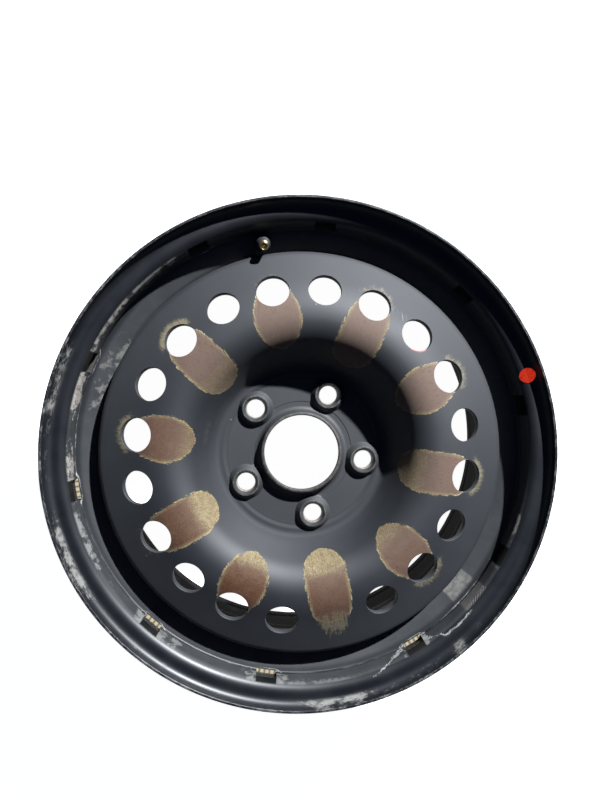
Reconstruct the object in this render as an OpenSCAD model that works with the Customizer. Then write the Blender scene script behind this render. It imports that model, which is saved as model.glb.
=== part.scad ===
// Pressed steel road wheel: a rolled rim, a pressed disc welded into its well, and a snap-in tyre valve.
// The wheel lies on its inboard flange. The origin is the centre of the hub mounting face,
// +Z is the wheel axis towards the outboard side, and the valve stands over +Y.

/* [Rim] */
// Bead seat diameter at the flange face
seat_d = 405.6; // [396:0.1:430]
// Width between the two flange faces on the tyre side
rim_w = 165.1; // [155:0.1:190]
// Sheet thickness of the rim
rim_t = 2.6; // [2:0.1:3.2]
// Height of the flange above the bead seat
flange_h = 17.5; // [16:0.1:22]
// Width of the curled flange, from its face to the lip
flange_w = 12; // [10:0.1:15]
// Bend radius of the flange curl on the tyre side
curl_r = 9.5; // [6:0.1:10]
// Bend radius at the root of the flange on the tyre side
root_r = 6.5; // [4:0.1:7]
// Taper of the bead seats, in degrees
seat_taper = 5; // [3:0.5:7]
// Length of a bead seat, from the flange face to the start of the hump
seat_l = 14; // [12:0.1:18]
// Length of the ramp from the bead seat up to the hump
hump_l = 6; // [5:0.1:9]
// Height of the hump above the bead seat diameter
hump_h = 0.6; // [0:0.1:1.5]
// Bend radius over the hump on the tyre side
hump_r = 4.6; // [4:0.1:6]
// Depth of the well below the bead seat
well_depth = 21.8; // [19:0.1:25]
// Width of the well floor
well_w = 44; // [38:0.5:52]
// Bend radius of the well floor's outboard edge on the tyre side
well_r = 6; // [3:0.1:9]
// Angle of the outboard well wall to the wheel's plane, in degrees
wall_angle = 20; // [14:0.5:24]
// Angle of the inboard well wall to the axis, in degrees
slope_angle = 30; // [26:0.5:40]
// Depth of the inboard ledge below the bead seat
ledge_depth = 6; // [4:0.1:8]
// Bend radius at the foot and the top of the inboard well wall
slope_r = 12; // [6:0.5:18]

/* [Disc] */
// Distance of the hub mounting face outboard of the rim's centre plane
hub_offset = 50; // [42:0.5:55]
// Sheet thickness of the disc
disc_t = 4; // [3:0.1:5]
// Height of the crown above the hub mounting face
crown_h = 44.5; // [38:0.5:50]
// Radius of the crown towards the hub
crown_in_r = 30; // [20:1:36]
// Radius of the crown towards the rim
crown_out_r = 48; // [30:1:60]
// Slope of the vented face, in degrees
face_angle = 22; // [16:0.5:26]
// Slope of the bowl wall round the hub, in degrees
bowl_angle = 57; // [50:0.5:64]
// Fillet between the bowl wall and the ring round the mounting pad
bowl_r = 7; // [4:0.5:10]
// Width of the ring round the mounting pad, with its ramp
ring_w = 9; // [8.5:0.5:13]
// Rise of the ring above the mounting pad
ring_h = 1.1; // [0.8:0.1:1.8]
// Run of the ramp from the mounting pad up to the ring
ring_ramp = 3; // [2.6:0.1:4]
// Diameter of the mounting pad
pad_d = 136; // [132:1:146]
// Radius of the shoulder between the vented face and the disc's flange
shoulder_r = 9; // [6:0.5:12]
// Length of the disc's flange that seats on the well floor
seat_depth = 20; // [12:0.5:26]
// Gap between the disc's flange and the well floor
disc_gap = 0.1; // [0.05:0.05:0.3]

/* [Vent holes] */
// Positions of vent holes, of which the one opposite the valve stays blank
vent_count = 20; // [10:2:22]
// Diameter of a vent hole
vent_d = 28.5; // [20:0.5:32]
// Pitch circle diameter of the vent holes
vent_pcd = 285.4; // [278:0.2:296]

/* [Hub] */
// Diameter of the centre bore
bore_d = 67.1; // [54:0.1:72]
// Height of the centre collar above the hub mounting face
collar_h = 12.5; // [11.5:0.1:17]
// Thickness of the collar at its drawn edge
collar_edge_t = 2.4; // [1.8:0.1:3.4]
// Length over which the collar thins to its edge
collar_thin_l = 3.4; // [1:0.1:3.8]
// Bend radius at the foot of the collar
collar_r = 4.5; // [3:0.1:5]
// Diameter of the shallow recess round the collar
recess_d = 92.4; // [86:0.2:98]
// Depth of the recess round the collar
recess_depth = 0.4; // [0.2:0.1:0.6]
// Number of wheel bolts
bolt_count = 5; // [4:1:5]
// Pitch circle diameter of the wheel bolts
bolt_pcd = 114.3; // [108:0.1:118]
// Diameter of a wheel bolt hole
bolt_hole_d = 16.4; // [12:0.1:17]
// Diameter of the bolt seat at its mouth
bolt_seat_d = 21.6; // [20:0.1:24]
// Included angle of the bolt seat, in degrees
bolt_seat_angle = 60; // [56:1:90]
// Diameter of a bolt boss at its foot
boss_d = 32; // [31:0.5:36]
// Diameter of a bolt boss at its top
boss_top_d = 24.2; // [23:0.1:28]
// Height of a bolt boss above the plate
boss_h = 5.4; // [4:0.1:7]
// Diameter of the hollow behind a bolt boss
hollow_d = 30; // [28:0.5:32]
// Depth of the hollow behind a bolt boss
hollow_depth = 3; // [1.5:0.1:3]
// Width of the flat land between a bolt hole and the hollow behind it
land_w = 2; // [1.5:0.1:2.2]

/* [Cover clip pockets] */
// Number of pairs of pockets
pocket_pairs = 5; // [3:1:6]
// Angle between the two pockets of a pair
pocket_spread = 32.4; // [20:0.1:40]
// Width of a pocket round the rim
pocket_w = 18; // [10:0.5:24]
// Length of a pocket along the axis
pocket_l = 12; // [8:0.5:13]
// Depth pressed into the bead seat
pocket_depth = 1.9; // [0.8:0.1:2.2]
// Depth of the pocket's end below the corner of the well wall
pocket_drop = 0.7; // [0.5:0.1:2]

/* [Welds] */
// Number of weld beads between the disc and the rim
weld_count = 5; // [4:1:10]
// Length of a weld bead
weld_l = 92; // [40:1:100]
// Leg of a weld bead
weld_leg = 4.2; // [3:0.1:6]
// Gap left round a weld bead
weld_gap = 0.06; // [0.02:0.02:0.2]

/* [Valve] */
// Height of the valve hole above the well floor, measured from the axis
valve_rise = 11; // [9.5:0.1:13]
// Diameter of the valve hole
valve_hole_d = 11.5; // [10.5:0.1:12.5]
// Length of the valve that stands out of the wall
valve_l = 28.5; // [26:0.5:36]
// Diameter of the rubber shoulder outside the wall
valve_shoulder_d = 15; // [13.6:0.1:17]
// Height of the straight part of the rubber shoulder
valve_shoulder_l = 2.3; // [1.5:0.1:4]
// Height above the wall at which the rubber's taper ends
valve_taper_l = 10.4; // [8:0.1:12]
// Diameter of the rubber neck under the bare thread
valve_neck_d = 10.4; // [9.4:0.1:12]
// Length of the bare brass end
valve_tip_l = 9.5; // [8:0.5:12]
// Diameter of the rubber foot inside the tyre
valve_foot_d = 18; // [16:0.1:20]
// Length of the rubber foot inside the tyre
valve_foot_l = 9; // [6:0.5:12]
// Diameter of the valve thread
valve_thread_d = 7.7; // [7.2:0.1:8.2]
// Diameter of the stem inside the rubber
stem_shank_d = 7; // [6.6:0.1:7.1]
// Bore of the stem above the core's seat
stem_bore_d = 5.3; // [5.1:0.1:5.7]
// Bore of the stem below the core's seat
stem_air_d = 4.4; // [4.3:0.1:4.8]
// Gap between the rubber and the wall on either side
valve_seat_gap = 0.15; // [0.1:0.05:0.3]
// Gap between pieces of the valve that are bonded or screwed together
valve_fit_gap = 0.05; // [0.02:0.01:0.1]

/* [Valve core] */
// Travel of the core pin
pin_travel = 1.5; // [1:0.1:2]
// Diameter of the core pin
pin_d = 1.1; // [0.9:0.05:1.2]
// Gap between the core pin and the holes it slides in
pin_gap = 0.25; // [0.2:0.01:0.3]
// Depth of the pin's end below the mouth of the stem
pin_sink = 0.3; // [0:0.1:0.6]
// Length of the pin that still stands out of the plug when it is pressed
pin_stub = 0.1; // [0:0.05:0.3]
// Length of the threaded core plug
plug_l = 5; // [4.5:0.1:6]
// Diameter of the core barrel
barrel_d = 3.4; // [3.3:0.05:3.5]
// Length of the core barrel below the plug
barrel_l = 6.4; // [6:0.1:8]
// Diameter of the bore that holds the spring
spring_bore_d = 2.6; // [2.5:0.05:2.7]
// Wire diameter of the core spring
wire_d = 0.26; // [0.2:0.02:0.3]
// Turns of the core spring
spring_turns = 6; // [4:1:8]

/* [Mark] */
// Diameter of the round mark on the outboard flange
dot_d = 13; // [8:0.5:16]
// Thickness of the mark
dot_t = 0.25; // [0.2:0.05:0.4]
// Gap between the mark and the flange
dot_gap = 0.03; // [0.01:0.01:0.1]
// Angle of the mark round the axis, in degrees from +X
dot_angle = 8.8; // [0:0.1:40]

/* [Hidden] */
$fn = 96;
// Largest turn between two points of a bend, in degrees
bend_step = 9;
// Length by which a cutting shape passes the surface it opens
overcut = 2;
// The valve stands over +Y
valve_angle = 90;
// Reach of a vent punch on either side of the disc's face
vent_reach = 12;
// Slant of the hollow's inner wall behind a bolt boss
land_taper = 0.5;
// Share of the sheet's thickness that a pocket's bulge keeps at its outboard end
bulge_fade = 0.6;
// Share of the leg at which the face of a weld bead is fullest
weld_face = 0.6;

// Heights of the rim along the axis
lip_z = rim_w / 2 + flange_w - hub_offset;
face_z = lip_z - flange_w;
hump_z = face_z - seat_l - hump_l;
rim_mid_z = -hub_offset;

// Radii of the rim on the tyre side
seat_r = seat_d / 2;
lip_r = seat_r + flange_h;
hump_top_r = seat_r + hump_h;
well_floor_r = seat_r - well_depth;
ledge_r = seat_r - ledge_depth;
seat_end_r = seat_r - seat_l * tan(seat_taper);
wall_foot_z = hump_z - (hump_top_r - well_floor_r) * tan(wall_angle);
slope_foot_z = wall_foot_z - well_w;
slope_top_z = slope_foot_z - (ledge_r - well_floor_r) / tan(slope_angle);
inboard_hump_z = 2 * rim_mid_z - hump_z;
ledge_end_z = inboard_hump_z + hump_l + (hump_top_r - ledge_r);

// One flange and bead seat, from the lip to the hump, as corners with a bend radius
outboard_edge = [
    [lip_r, lip_z, 0],
    [lip_r, face_z, curl_r],
    [seat_r, face_z, root_r],
    [seat_end_r, face_z - seat_l, hump_r],
    [hump_top_r, hump_z, hump_r]
];
inboard_edge = [for (i = [len(outboard_edge) - 1 : -1 : 0])
    [outboard_edge[i][0], 2 * rim_mid_z - outboard_edge[i][1], outboard_edge[i][2]]];
rim_path = concat(
    outboard_edge,
    [[well_floor_r, wall_foot_z, well_r],
     [well_floor_r, slope_foot_z, slope_r],
     [ledge_r, slope_top_z, slope_r],
     [ledge_r, ledge_end_z, hump_r]],
    inboard_edge
);

// The disc, from the inboard end of its flange to the top of the centre collar
plate_z = disc_t;
disc_r = well_floor_r - rim_t - disc_gap;
flange_top_z = wall_foot_z - (well_r + rim_t) * tan((90 - wall_angle) / 2);
disc_end_z = flange_top_z - seat_depth;
ring_in_r = pad_d / 2;
ring_out_r = ring_in_r + ring_w;
bowl_top_r = ring_out_r + (crown_h - plate_z - ring_h) / tan(bowl_angle);
crown_out_at = bowl_top_r + crown_in_r * tan(bowl_angle / 2) + crown_out_r * tan(face_angle / 2);
collar_out_r = bore_d / 2 + disc_t;
function face_height(r) = crown_h - (r - crown_out_at) * tan(face_angle);
disc_path = [
    [disc_r, disc_end_z, 0],
    [disc_r, face_height(disc_r), shoulder_r],
    [crown_out_at, crown_h, crown_out_r],
    [bowl_top_r, crown_h, crown_in_r],
    [ring_out_r, plate_z + ring_h, bowl_r],
    [ring_in_r + ring_ramp, plate_z + ring_h, disc_t + ring_h],
    [ring_in_r, plate_z, ring_h],
    [collar_out_r, plate_z, collar_r],
    [collar_out_r, collar_h, 0]
];

// Corner between the bead seat and the well wall, on the outboard side of the sheet
wall_normal = [-sin(wall_angle), cos(wall_angle)];
corner_r = hump_top_r - rim_t;
corner_z = hump_z + rim_t * tan(45 - wall_angle / 2);

// The valve's own axis starts on the tyre side of the well wall and leans towards the wheel axis
valve_r = well_floor_r + valve_rise;
valve_z = hump_z - (hump_top_r - valve_r) * tan(wall_angle);
valve_top = rim_t + valve_l;
thread_top = valve_top - valve_tip_l;
groove_r = valve_hole_d / 2 - valve_fit_gap;
foot_bottom = -valve_foot_l;
stem_r = valve_thread_d / 2;
shank_r = stem_shank_d / 2;
rubber_bore_r = shank_r + valve_fit_gap;
// Chamfer on both ends of the rubber
rubber_chamfer = 0.8;
// Length of the straight rim of the rubber foot
foot_rim_l = 3;
// Width of the foot's sealing face round the valve hole
foot_face_w = 1.2;
// Step of the rubber between its taper and its neck
neck_step = 1;
// Chamfer at the mouth of the stem
mouth = 0.4;

// The core, measured down from the mouth of the stem
pin_r = pin_d / 2;
pin_top = valve_top - pin_sink;
plug_top = pin_top - pin_travel - pin_stub;
plug_bottom = plug_top - plug_l;
barrel_bottom = plug_bottom - barrel_l;
plug_r = stem_bore_d / 2 - valve_fit_gap;
barrel_r = barrel_d / 2;
air_r = stem_air_d / 2;
// Length of the conical seat that the core's gasket presses on
core_seat_l = 2;
// Free depth between the plug and the conical seat
core_seat_drop = 0.6;
// Thickness of the plug's top, which stops the pin's collar
plug_cap_l = 1.2;
// Free play of the pin's collar under the plug's top
collar_play = 0.1;
// Length of the pin's collar
pin_collar_l = 0.6;
// Thickness of the barrel's floor
barrel_floor_l = 1;
// Thickness of the rubber seal under the barrel
seal_l = 0.7;
// Length of the cup that carries the seal
cup_l = 1.5;
// Gap between the seal and the barrel at rest
seal_gap = 0.05;
// Gap between the cup and the wall of the stem
cup_gap = 0.35;
// Length of the core's gasket
gasket_l = 1.3;
// Chamfer on the pin's end
pin_chamfer = 0.2;
core_seat_z = plug_bottom - core_seat_drop;
spring_top = plug_top - plug_cap_l - collar_play - pin_collar_l;
spring_floor = barrel_bottom + barrel_floor_l;
coil_r = (pin_r + spring_bore_d / 2) / 2;
wire_r = wire_d / 2;

function unit(v) = v / norm(v);
function left(v) = [-v[1], v[0]];
function flat(p) = [p[0], p[1]];

// Points of one bend of a sheet, on the side that lies o to the left of the path
function bend(a, p, b, r, o) =
    let (
        d1 = unit(flat(p) - flat(a)),
        d2 = unit(flat(b) - flat(p)),
        turn = atan2(d1[0] * d2[1] - d1[1] * d2[0], d1 * d2),
        s = sign(turn),
        start = flat(p) - d1 * r * tan(abs(turn) / 2),
        centre = start + s * r * left(d1),
        from = atan2(-s * left(d1)[1], -s * left(d1)[0]),
        steps = max(1, ceil(abs(turn) / bend_step))
    )
    [for (i = [0 : steps]) let (t = from + turn * i / steps) centre + (r - s * o) * [cos(t), sin(t)]];

// One side of a bent sheet, o to the left of its path of corners
function side(path, o) =
    let (
        n = len(path) - 1,
        first = left(unit(flat(path[1]) - flat(path[0]))),
        last = left(unit(flat(path[n]) - flat(path[n - 1])))
    )
    concat(
        [flat(path[0]) + o * first],
        [for (i = [1 : n - 1]) each bend(path[i - 1], path[i], path[i + 1], path[i][2], o)],
        [flat(path[n]) + o * last]
    );

function backwards(v) = [for (i = [len(v) - 1 : -1 : 0]) v[i]];

// Section of a sheet between two offsets from its path
module sheet(path, o1, o2) {
    polygon(concat(side(path, o1), backwards(side(path, o2))));
}

// A sector of a revolved section, centred on an angle and as wide as w at radius r
module sector(angle, w, r) {
    span = w / r * 180 / PI;
    rotate([0, 0, angle - span / 2])
        rotate_extrude(angle = span)
            children();
}

// Copies at equal angles round the axis
module around(count, start) {
    for (i = [0 : count - 1])
        rotate([0, 0, start + i * 360 / count])
            children();
}

// The valve's own frame
module at_valve() {
    rotate([0, 0, valve_angle - 90])
        translate([0, valve_r, valve_z])
            rotate([wall_angle, 0, 0])
                children();
}

function pocket_angles() = [for (i = [0 : pocket_pairs - 1], s = [-1, 1])
    valve_angle + i * 360 / pocket_pairs + s * pocket_spread / 2];

// Hollow of a cover clip pocket, seen in the section of the rim
module pocket_section() {
    polygon([
        [corner_r - pocket_l, corner_z - pocket_drop],
        [corner_r + pocket_depth, corner_z - pocket_drop],
        [corner_r + pocket_depth, corner_z],
        [corner_r + pocket_depth / 2, corner_z - pocket_drop + pocket_l],
        [corner_r - pocket_l, corner_z - pocket_drop + pocket_l]
    ]);
}

// Bulge of the same pocket on the tyre side
module bulge_section() {
    inner_r = hump_top_r - rim_t;
    bulge_r = hump_top_r + pocket_depth / 2;
    end_r = corner_r + pocket_depth / 2 + rim_t * bulge_fade;
    polygon([
        [inner_r, hump_z - pocket_drop - rim_t * tan(wall_angle)],
        [bulge_r, hump_z - pocket_drop / 2],
        [bulge_r, corner_z],
        [end_r, corner_z + pocket_l],
        [inner_r, corner_z + pocket_l + rim_t]
    ]);
}

module rim_barrel() {
    color([0.10, 0.11, 0.12])
    difference() {
        union() {
            rotate_extrude()
                sheet(rim_path, -rim_t, 0);
            for (a = pocket_angles())
                sector(a, pocket_w + 2 * rim_t, corner_r)
                    bulge_section();
        }
        for (a = pocket_angles())
            sector(a, pocket_w, corner_r)
                pocket_section();
        at_valve()
            translate([0, 0, -overcut])
                cylinder(h = rim_t + 2 * overcut, d = valve_hole_d);
    }
}

// Raised ring round a wheel bolt hole, with its flank blended into the plate
module bolt_boss() {
    foot = [boss_d / 2, 0];
    below = foot + [disc_t / 2, -disc_t / 4];
    top = [boss_top_d / 2, boss_h];
    rotate_extrude()
        polygon(concat(
            [[0, -disc_t / 2], below],
            bend(below, foot, top, boss_h / 3, 0),
            bend(foot, top, [0, boss_h], boss_h / 6, 0),
            [[0, boss_h]]
        ));
}

// Bolt hole with its conical seat, and the hollow that the boss leaves round the land on the back
module bolt_cut() {
    half = bolt_seat_angle / 2;
    cone_l = (bolt_seat_d - bolt_hole_d) / 2 / tan(half);
    land_r = bolt_hole_d / 2 + land_w;
    translate([0, 0, -disc_t - overcut])
        cylinder(h = disc_t + boss_h + 2 * overcut, d = bolt_hole_d);
    translate([0, 0, boss_h - cone_l])
        cylinder(h = cone_l + overcut, d1 = bolt_hole_d, d2 = bolt_seat_d + 2 * overcut * tan(half));
    rotate_extrude()
        polygon([
            [land_r, -disc_t - overcut],
            [hollow_d / 2, -disc_t - overcut],
            [hollow_d / 2, -disc_t],
            [hollow_d / 2 - hollow_depth, hollow_depth - disc_t],
            [land_r + land_taper, hollow_depth - disc_t],
            [land_r, -disc_t]
        ]);
}

// The pressed sheet of the disc, with the recess round its collar and the collar's thinned edge
module disc_sheet() {
    rotate_extrude()
        difference() {
            sheet(disc_path, 0, disc_t);
            translate([collar_out_r + collar_r, plate_z - recess_depth])
                square([recess_d / 2 - collar_out_r - collar_r, disc_t]);
            polygon([
                [bore_d / 2 + collar_edge_t, collar_h],
                [collar_out_r, collar_h - collar_thin_l],
                [collar_out_r + overcut, collar_h - collar_thin_l],
                [collar_out_r + overcut, collar_h + overcut],
                [bore_d / 2 + collar_edge_t, collar_h + overcut]
            ]);
        }
}

// The disc with its first n bolt bosses, joined one by one
module bossed_disc(n) {
    if (n == 0)
        disc_sheet();
    else
        union() {
            bossed_disc(n - 1);
            rotate([0, 0, valve_angle + (n - 0.5) * 360 / bolt_count])
                translate([bolt_pcd / 2, 0, plate_z])
                    bolt_boss();
        }
}

module wheel_disc() {
    vent_r = vent_pcd / 2;
    color([0.13, 0.14, 0.15])
    difference() {
        bossed_disc(bolt_count);
        around(bolt_count, valve_angle + 180 / bolt_count)
            translate([bolt_pcd / 2, 0, plate_z])
                bolt_cut();
        for (i = [0 : vent_count - 1])
            if (i != vent_count / 2)
                rotate([0, 0, valve_angle + i * 360 / vent_count])
                    translate([vent_r, 0, face_height(vent_r)])
                        rotate([0, face_angle, 0])
                            cylinder(h = 2 * vent_reach, d = vent_d, center = true);
    }
}

module weld_beads() {
    inner = well_floor_r - rim_t - weld_gap;
    top = disc_end_z - weld_gap;
    color([0.09, 0.09, 0.10])
    for (i = [0 : weld_count - 1])
        sector(valve_angle + i * 360 / weld_count, weld_l, inner)
            polygon([
                [inner, top],
                [inner - weld_leg, top],
                [inner - weld_leg * weld_face, top - weld_leg * weld_face],
                [inner, top - weld_leg]
            ]);
}

module valve_body() {
    shoulder_r1 = valve_shoulder_d / 2;
    neck_r = valve_neck_d / 2;
    color([0.05, 0.05, 0.05])
    at_valve()
        rotate_extrude()
            polygon([
                [rubber_bore_r, foot_bottom],
                [valve_foot_d / 2 - rubber_chamfer, foot_bottom],
                [valve_foot_d / 2, foot_bottom + rubber_chamfer],
                [valve_foot_d / 2, foot_bottom + foot_rim_l],
                [groove_r + foot_face_w, -valve_seat_gap],
                [groove_r, -valve_seat_gap],
                [groove_r, rim_t + valve_seat_gap],
                [shoulder_r1, rim_t + valve_seat_gap],
                [shoulder_r1, rim_t + valve_shoulder_l],
                [neck_r + neck_step, rim_t + valve_taper_l],
                [neck_r, rim_t + valve_taper_l + neck_step],
                [neck_r, thread_top - rubber_chamfer],
                [neck_r - rubber_chamfer, thread_top],
                [rubber_bore_r, thread_top]
            ]);
}

module valve_stem() {
    color([0.72, 0.58, 0.34])
    at_valve()
        rotate_extrude()
            polygon([
                [air_r, foot_bottom],
                [shank_r, foot_bottom],
                [shank_r, thread_top + valve_fit_gap],
                [stem_r, thread_top + valve_fit_gap],
                [stem_r, valve_top - mouth],
                [stem_r - mouth, valve_top],
                [stem_bore_d / 2 + mouth / 2, valve_top],
                [stem_bore_d / 2, valve_top - mouth / 2],
                [stem_bore_d / 2, core_seat_z],
                [air_r, core_seat_z - core_seat_l]
            ]);
}

module valve_core_body() {
    hole_r = pin_r + pin_gap;
    bore_r = spring_bore_d / 2;
    color([0.75, 0.62, 0.38])
    at_valve()
        rotate_extrude()
            polygon([
                [hole_r, plug_top],
                [plug_r, plug_top],
                [plug_r, plug_bottom],
                [barrel_r, plug_bottom],
                [barrel_r, barrel_bottom],
                [hole_r, barrel_bottom],
                [hole_r, spring_floor],
                [bore_r, spring_floor],
                [bore_r, plug_top - plug_cap_l],
                [hole_r, plug_top - plug_cap_l]
            ]);
}

module valve_core_gasket() {
    slope = (stem_bore_d / 2 - air_r) / core_seat_l;
    inner = barrel_r + valve_fit_gap;
    top = core_seat_z - valve_fit_gap;
    color([0.75, 0.20, 0.15])
    at_valve()
        rotate_extrude()
            polygon([
                [inner, top],
                [stem_bore_d / 2 - 2 * valve_fit_gap, top],
                [stem_bore_d / 2 - 2 * valve_fit_gap - slope * gasket_l, top - gasket_l],
                [inner, top - gasket_l]
            ]);
}

module valve_core_pin() {
    collar_r1 = spring_bore_d / 2 - pin_gap;
    cup_top = barrel_bottom - seal_gap - seal_l - valve_fit_gap;
    color([0.78, 0.66, 0.42])
    at_valve()
        rotate_extrude()
            polygon([
                [0, pin_top],
                [pin_r - pin_chamfer, pin_top],
                [pin_r, pin_top - pin_chamfer],
                [pin_r, spring_top + pin_collar_l],
                [collar_r1, spring_top + pin_collar_l],
                [collar_r1, spring_top],
                [pin_r, spring_top],
                [pin_r, cup_top],
                [air_r - cup_gap, cup_top],
                [air_r - cup_gap, cup_top - cup_l],
                [0, cup_top - cup_l]
            ]);
}

module valve_core_seal() {
    top = barrel_bottom - seal_gap;
    color([0.06, 0.06, 0.06])
    at_valve()
        translate([0, 0, top - seal_l])
            difference() {
                cylinder(h = seal_l, r = air_r - cup_gap);
                translate([0, 0, -overcut])
                    cylinder(h = seal_l + 2 * overcut, r = pin_r + valve_fit_gap);
            }
}

// Round wire wound on a helix, closed at both ends
module helix(radius, wire, bottom, length, turns) {
    sides = 6;
    per_turn = 14;
    rings = turns * per_turn;
    points = [for (i = [0 : rings], j = [0 : sides - 1])
        let (a = i * 360 / per_turn, b = j * 360 / sides, r = radius + wire * cos(b))
        [r * cos(a), r * sin(a), bottom + length * i / rings + wire * sin(b)]];
    walls = [for (i = [0 : rings - 1], j = [0 : sides - 1])
        let (k = (j + 1) % sides, n = i * sides)
        each [[n + j, n + sides + j, n + sides + k], [n + j, n + sides + k, n + k]]];
    polyhedron(points, concat(
        walls,
        [[for (j = [0 : sides - 1]) j]],
        [[for (j = [sides - 1 : -1 : 0]) rings * sides + j]]
    ));
}

module valve_core_spring() {
    bottom = spring_floor + wire_r + valve_fit_gap;
    top = spring_top - wire_r - valve_fit_gap;
    color([0.7, 0.7, 0.7])
    at_valve()
        helix(coil_r, wire_r, bottom, top - bottom, spring_turns);
}

module match_dot() {
    dot_r = seat_r + root_r / 2 + rim_t;
    outer = -rim_t - dot_gap;
    color([0.85, 0.16, 0.06])
    intersection() {
        sector(dot_angle, dot_d + 2 * overcut, dot_r)
            sheet(outboard_edge, outer - dot_t, outer);
        rotate([0, 0, dot_angle])
            translate([dot_r, 0, face_z - overcut - root_r])
                cylinder(h = flange_w + 2 * overcut + root_r, d = dot_d);
    }
}

rim_barrel();
wheel_disc();
weld_beads();
valve_body();
valve_stem();
valve_core_body();
valve_core_gasket();
valve_core_pin();
valve_core_seal();
valve_core_spring();
match_dot();
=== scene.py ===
"""The looks of a used pressed steel wheel that lies on its inboard flange."""

import math

import bpy
from mathutils import Matrix, Vector


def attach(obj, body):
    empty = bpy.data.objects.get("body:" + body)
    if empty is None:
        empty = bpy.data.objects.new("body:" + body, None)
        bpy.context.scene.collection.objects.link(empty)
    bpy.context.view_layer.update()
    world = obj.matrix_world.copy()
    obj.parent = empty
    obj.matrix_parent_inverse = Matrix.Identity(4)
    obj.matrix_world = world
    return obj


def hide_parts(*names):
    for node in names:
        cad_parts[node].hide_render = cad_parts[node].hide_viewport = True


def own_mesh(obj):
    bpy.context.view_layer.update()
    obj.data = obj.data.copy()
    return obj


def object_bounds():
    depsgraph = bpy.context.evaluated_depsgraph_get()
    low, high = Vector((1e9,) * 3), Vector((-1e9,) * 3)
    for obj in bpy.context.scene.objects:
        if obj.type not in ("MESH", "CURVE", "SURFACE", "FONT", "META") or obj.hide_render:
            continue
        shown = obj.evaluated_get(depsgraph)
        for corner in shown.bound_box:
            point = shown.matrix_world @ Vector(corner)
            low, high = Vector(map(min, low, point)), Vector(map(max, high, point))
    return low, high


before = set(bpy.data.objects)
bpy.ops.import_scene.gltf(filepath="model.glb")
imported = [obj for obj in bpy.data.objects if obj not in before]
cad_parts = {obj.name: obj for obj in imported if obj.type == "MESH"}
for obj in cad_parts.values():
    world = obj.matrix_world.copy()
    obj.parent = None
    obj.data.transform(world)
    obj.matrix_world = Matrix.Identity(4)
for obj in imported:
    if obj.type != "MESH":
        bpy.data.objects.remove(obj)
cad_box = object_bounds()

# Lengths are in millimetres and angles in degrees, as on the part. A mesh is in metres.
MM = 0.001
BEND_STEP = math.radians(6)
# Keeps the corners of a spun piece and of the tools that cut it apart
ODD_TURN = 0.37

# Steps round a spun piece
RIM_STEPS = 256
DISC_STEPS = 240
TOOL_STEPS = 72
POCKET_STEPS = 6
# How far a cutting tool reaches past the sheet
PAST = 2.0

# Rim: the tyre side of the sheet
RIM_T = 2.6
SEAT_R = 202.8
LIP_R = 220.23
LIP_Z = 44.545
FACE_Z = 32.55
HUB_OFFSET = 50.0
SEAT_L = 14.0
SEAT_TAPER = 5.0
HUMP_L = 6.0
HUMP_TOP_R = 203.4
HUMP_R = 4.6
CURL_R = 9.5
ROOT_R = 6.5
WELL_FLOOR_R = 181.0
WELL_W = 44.0
WELL_R = 6.0
WALL_ANGLE = 20.0
SLOPE_ANGLE = 30.0
SLOPE_R = 12.0
LEDGE_R = 196.8
LIP_EDGE_R = 0.7
HUMP_Z = FACE_Z - SEAT_L - HUMP_L
CORNER_R = HUMP_TOP_R - RIM_T
CORNER_Z = HUMP_Z + RIM_T * math.tan(math.radians(45 - WALL_ANGLE / 2))

# Disc: the front of the sheet
DISC_T = 4.0
DISC_R = 178.3
DISC_END_Z = -21.62
CROWN_H = 44.5
CROWN_IN_R = 30.0
CROWN_OUT_R = 48.0
FACE_ANGLE = 22.0
BOWL_ANGLE = 57.0
BOWL_R = 7.0
RING_IN_R = 68.0
RING_OUT_R = 77.0
RING_H = 1.1
RING_RAMP = 3.0
SHOULDER_R = 9.0
COLLAR_OUT_R = 37.55
COLLAR_H = 12.5
COLLAR_EDGE_T = 2.4
COLLAR_THIN_L = 3.4
BORE_R = 33.55
COLLAR_R = 4.5
RECESS_R = 46.2
RECESS_DEPTH = 0.4
DISC_EDGE_R = 0.9
VENT_R = 14.25
VENT_CIRCLE_R = 142.7
VENT_EDGE = 0.5
VENT_REACH = 12.0
VENT_FLARE = 5.0
VENT_PAST = 0.4
BOLT_CIRCLE_R = 57.15
BOLT_HOLE_R = 8.2
BOLT_SEAT_R = 10.8
BOLT_SEAT_SLOPE = 30.0
BOLT_CHAMFER = 0.4
BOSS_R = 16.0
BOSS_TOP_R = 12.1
BOSS_H = 5.4
HOLLOW_R = 15.0
HOLLOW_DEPTH = 3.0
LAND_R = 10.2
DISC_SPACING = 5.0

# Angles round the axis, from +X: the valve stands over 90
VALVE_ANGLE = 90
VENT_PERIOD = 18
BLANK_VENT = 10
BOLT_PERIOD = 72
BOLT_START = 54
POCKET_SPREAD = 16.2
VENT_ANGLES = [VALVE_ANGLE + VENT_PERIOD * i for i in range(20) if i != BLANK_VENT]
BOLT_ANGLES = [BOLT_START + BOLT_PERIOD * i for i in range(1, 6)]
POCKET_ANGLES = [VALVE_ANGLE + BOLT_PERIOD * i + side * POCKET_SPREAD
                 for i in range(5) for side in (-1, 1)]
NICK_ANGLES = [276.9, 278.2, 279.8, 280.6, 282.1, 283.7, 284.3]
POCKET_W = 18.0
POCKET_L = 12.0
POCKET_DEPTH = 1.9
POCKET_DROP = 0.7
POCKET_EDGE = 0.25
NICK_OUTLINE = [(0, -2), (1.5, -2), (1.1, 1.0), (0.5, 1.6), (0, 1.7)]
NICK_AT = (LIP_R + 0.5, 0, LIP_Z + 0.6)
NICK_TURN = (8, -40, 0)

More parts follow.
